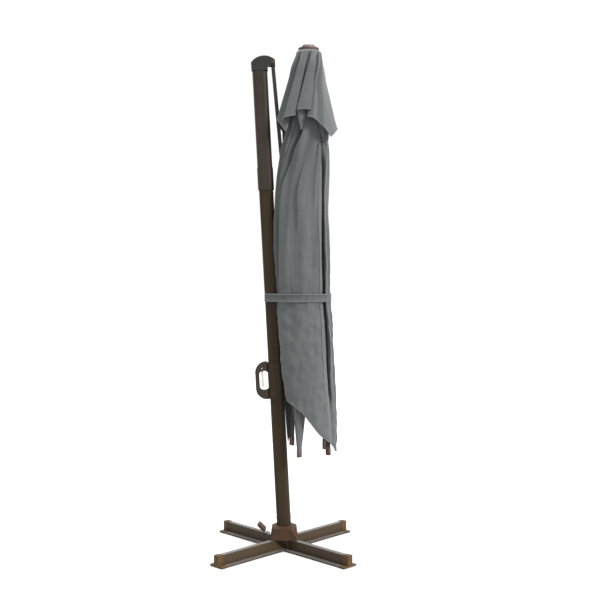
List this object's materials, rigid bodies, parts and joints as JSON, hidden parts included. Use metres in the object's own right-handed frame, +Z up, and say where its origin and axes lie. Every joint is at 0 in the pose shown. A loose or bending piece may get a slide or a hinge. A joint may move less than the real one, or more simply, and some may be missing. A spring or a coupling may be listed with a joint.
{
  "type": "cantilever parasol",
  "caption": "Side-post cantilever parasol folded and strapped to its leaning mast, on a steel cross base, with a slider handle and foot pedal.",
  "frame": {"origin": "on the floor, under the swivel's vertical axis, at the centre of the cross base", "axes": "+X from the mast towards the folded canopy, +Y to the rear, +Z up; the legs lie at 45 degrees to X and Y"},
  "size_m": [0.7326, 0.7326, 2.65],
  "materials": {
    "steel_legs": "satin",
    "mast_aluminium": "satin",
    "frame_steel": "satin",
    "zinc_steel": "satin",
    "brass": "satin",
    "black_plastic": "satin",
    "brown_plastic": "satin",
    "tan_plastic": "satin",
    "nylon": "satin",
    "grey_fabric": "matte"
  },
  "bodies": {
    "cross_base": {"leg_long": "steel_legs", "leg_half_front": "steel_legs", "leg_half_rear": "steel_legs", "leg_end_caps": "tan_plastic", "base_plate": "zinc_steel", "base_fasteners": "zinc_steel", "swivel_spigot": "zinc_steel", "brake_ring": "zinc_steel", "thrust_washer": "nylon"},
    "mast": {"swivel_socket": "frame_steel", "swivel_bushes": "nylon", "lower_mast": "mast_aluminium", "upper_mast": "mast_aluminium", "mast_inner_sleeve": "mast_aluminium", "mast_collar": "mast_aluminium", "mast_screws": "zinc_steel", "base_cover": "brown_plastic", "pedal_pin": "zinc_steel", "mast_cap": "black_plastic", "cap_pivot_bolt": "brass", "cap_spacer": "black_plastic"},
    "foot_pedal": {"pedal_arm": "zinc_steel", "pedal_pad": "brown_plastic", "brake_shoe": "black_plastic"},
    "strut": {"strut_front": "frame_steel", "strut_rear": "frame_steel", "elbow_bolt": "zinc_steel", "elbow_washers": "nylon"},
    "arm": {"arm_tube": "mast_aluminium", "arm_foot": "frame_steel", "arm_head": "frame_steel", "elbow_bush": "nylon"},
    "slider": {"slider_body": "black_plastic", "slider_bolt": "zinc_steel", "slider_guides": "nylon", "grip_front_shell": "black_plastic", "grip_rear_shell": "black_plastic", "grip_fasteners": "brass", "lever_pin": "zinc_steel"},
    "grip_lever": {"squeeze_lever": "zinc_steel"},
    "canopy": {"canopy_hanger": "frame_steel", "canopy_pivot_bolt": "zinc_steel", "canopy_pole": "mast_aluminium", "crown": "black_plastic", "rib_corner_inner_front": "frame_steel", "rib_corner_inner_rear": "frame_steel", "rib_corner_outer_front": "frame_steel", "rib_corner_outer_rear": "frame_steel", "ribs_side": "frame_steel", "rib_shoes": "black_plastic", "rib_hinge_pins": "zinc_steel", "runner": "black_plastic", "stretchers": "frame_steel", "stretcher_clips": "frame_steel", "finial_ring": "tan_plastic", "finial": "brown_plastic", "main_canopy": "grey_fabric", "vent_canopy": "grey_fabric", "strap": "grey_fabric"}
  },
  "joints": [
    {"name": "mast_swivel", "type": "hinge", "parent": "cross_base", "child": "mast", "pos_m": [0, 0, 0.07], "axis": [0, 0, 1], "continuous": true},
    {"name": "pedal_press", "type": "hinge", "parent": "mast", "child": "foot_pedal", "pos_m": [-0.063, 0, 0.074], "axis": [0, -1, 0], "range_deg": [0, 12], "stiffness_Nm_per_rad": 4, "springref_deg": -8.59},
    {"name": "canopy_fold", "type": "hinge", "parent": "mast", "child": "strut", "pos_m": [-0.05902, 0, 2.55598], "axis": [0, -1, 0], "range_deg": [0, 60], "deforming": ["strap"]},
    {"name": "elbow", "type": "hinge", "parent": "strut", "child": "arm", "pos_m": [0.01762, 0, 1.72821], "axis": [0, -1, 0], "range_deg": [-120.01, 0]},
    {"name": "slider_pivot", "type": "hinge", "parent": "arm", "child": "slider", "pos_m": [0.02822, 0, 0.89697], "axis": [0, -1, 0], "range_deg": [0, 60.01]},
    {"name": "canopy_hang", "type": "hinge", "parent": "arm", "child": "canopy", "pos_m": [0.01, 0, 2.32685], "axis": [0, -1, 0], "range_deg": [0, 60.01]},
    {"name": "lever_squeeze", "type": "hinge", "parent": "slider", "child": "grip_lever", "pos_m": [-0.11661, 0, 0.95544], "axis": [0, -1, 0], "range_deg": [-3, 0], "stiffness_Nm_per_rad": 2, "springref_deg": 11.46}
  ],
  "couplings": [
    {"joint": "elbow", "follows": "canopy_fold", "ratio": -2},
    {"joint": "slider_pivot", "follows": "canopy_fold", "ratio": 1},
    {"joint": "canopy_hang", "follows": "canopy_fold", "ratio": 1}
  ]
}
